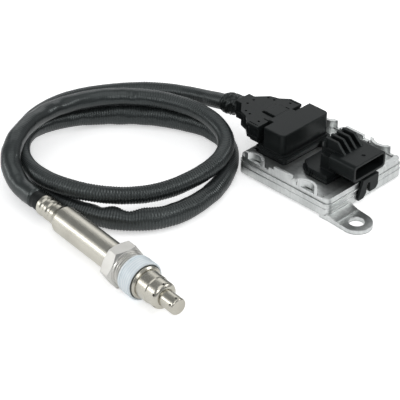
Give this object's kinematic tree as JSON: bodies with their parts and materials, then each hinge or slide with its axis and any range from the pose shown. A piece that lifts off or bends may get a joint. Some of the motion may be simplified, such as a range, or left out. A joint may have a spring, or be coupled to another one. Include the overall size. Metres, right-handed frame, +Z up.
{
  "type": "nitrogen oxide sensor",
  "caption": "Exhaust gas sensor: flat cast control unit with plug ports and ears, a sleeved cable laid in loose loops, and a screw-in steel probe with a loose hexagonal gland nut.",
  "frame": {"origin": "midpoint between the two ear bolt holes, on the control unit's mounting plane", "axes": "+X from the cable's side of the control unit to the vehicle connector's mouth, +Z up out of the lid, so +Y is the long side away from the probe"},
  "size_m": [0.2207, 0.1954, 0.0332],
  "materials": {
    "cast_alloy": "as cast, lightly blasted",
    "sealant": "matt",
    "board": "solder resist",
    "component_black": "matt",
    "steel": "plain",
    "black_moulding": "fine grain",
    "tin_brass": "tinned",
    "seal_rubber": "matt",
    "wire_jacket": "smooth",
    "boot_rubber": "satin",
    "cable_sleeve": "satin, ribbed",
    "stainless": "drawn, heat tinted in bands",
    "nut_steel": "turned",
    "cap_plastic": "milky, slightly see-through",
    "white_ceramic": "unglazed",
    "powder": "pressed powder"
  },
  "bodies": {
    "sensor": {"housing_base": "cast_alloy", "housing_lid": "cast_alloy", "housing_seal": "sealant", "circuit_board": "board", "board_components": "component_black", "board_screws": "steel", "vehicle_connector": "black_moulding", "vehicle_terminals": "tin_brass", "vehicle_gasket": "seal_rubber", "sensor_port": "black_moulding", "port_gasket": "seal_rubber", "sensor_plug": "black_moulding", "sensor_terminals": "tin_brass", "clamshell_lower": "black_moulding", "clamshell_upper": "black_moulding", "wire_ends": "wire_jacket", "cable_boot": "boot_rubber", "wall_clip": "black_moulding", "cable": "cable_sleeve", "probe_grommet": "seal_rubber", "probe_sleeve": "stainless", "probe_body": "stainless", "outer_shield": "stainless", "inner_shield": "stainless", "ceramic_element": "white_ceramic", "rear_bush": "white_ceramic", "powder_ring": "powder", "front_bush": "white_ceramic", "contact_holder": "white_ceramic", "contact_springs": "tin_brass", "holder_ring": "steel", "lead_wires": "wire_jacket"},
    "nut": {"gland_nut": "nut_steel", "thread_cap": "cap_plastic"}
  },
  "joints": [
    {"name": "gland_nut_turn", "type": "hinge", "parent": "sensor", "child": "nut", "pos_m": [0.00334, -0.15018, 0.011], "axis": [0.9954, -0.0958, 0], "continuous": true}
  ]
}
